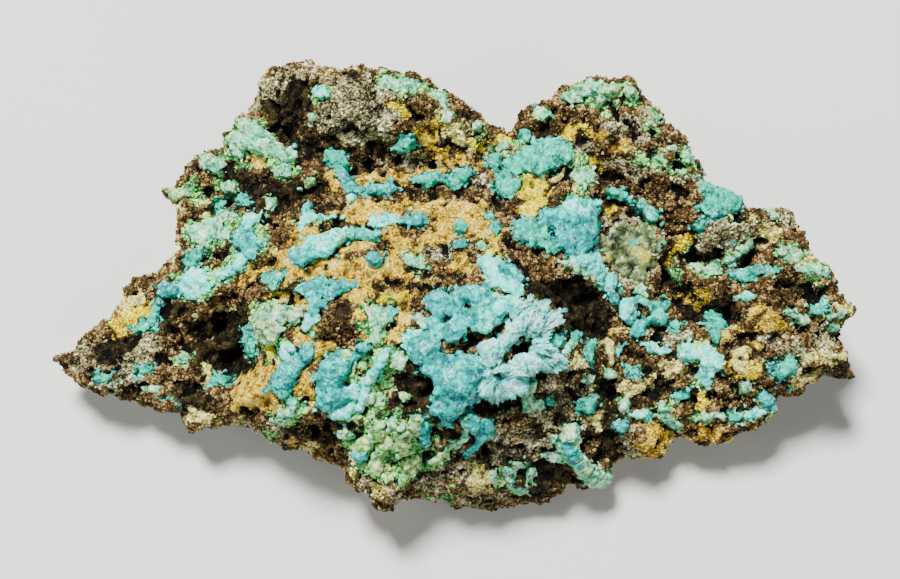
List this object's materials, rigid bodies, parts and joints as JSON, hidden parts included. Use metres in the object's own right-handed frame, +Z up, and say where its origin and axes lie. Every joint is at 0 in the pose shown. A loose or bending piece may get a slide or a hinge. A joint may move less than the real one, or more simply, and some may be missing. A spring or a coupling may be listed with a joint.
{
  "type": "aurichalcite specimen",
  "caption": "Jagged hand specimen of brown limonite and goethite matrix crusted with turquoise, mint and pale blue aurichalcite, lying on its broken underside.",
  "frame": {"origin": "on the rest plane, under the middle of the specimen's box", "axes": "+X along the long way, to the right of a viewer at the front; +Y towards the two rear lobes; +Z up, square to the face it rests on"},
  "size_m": [0.063, 0.0356, 0.019],
  "materials": {
    "limonite_matrix": "matte",
    "aurichalcite": "satin",
    "pale_aurichalcite": "satin",
    "clear_crust": "satin"
  },
  "bodies": {
    "root": {"matrix": "limonite_matrix", "aurichalcite_main": "aurichalcite", "saddle_nugget": "aurichalcite", "notch_crust": "aurichalcite", "cliff_crust": "pale_aurichalcite", "front_crust": "aurichalcite", "front_fan": "pale_aurichalcite", "quartz_mass": "clear_crust", "shoulder_crust": "pale_aurichalcite", "left_slab": "aurichalcite", "left_arc_slab": "aurichalcite", "upper_arc_strip": "aurichalcite", "valley_strip_left": "aurichalcite", "valley_strip_right": "aurichalcite", "front_left_slab": "aurichalcite", "mint_ridge": "pale_aurichalcite", "left_edge_crust": "pale_aurichalcite", "shoulder_patch": "aurichalcite", "right_edge_crust": "pale_aurichalcite", "wing_crust": "aurichalcite", "hollow_crust": "aurichalcite", "lower_right_crust": "pale_aurichalcite"}
  },
  "joints": []
}
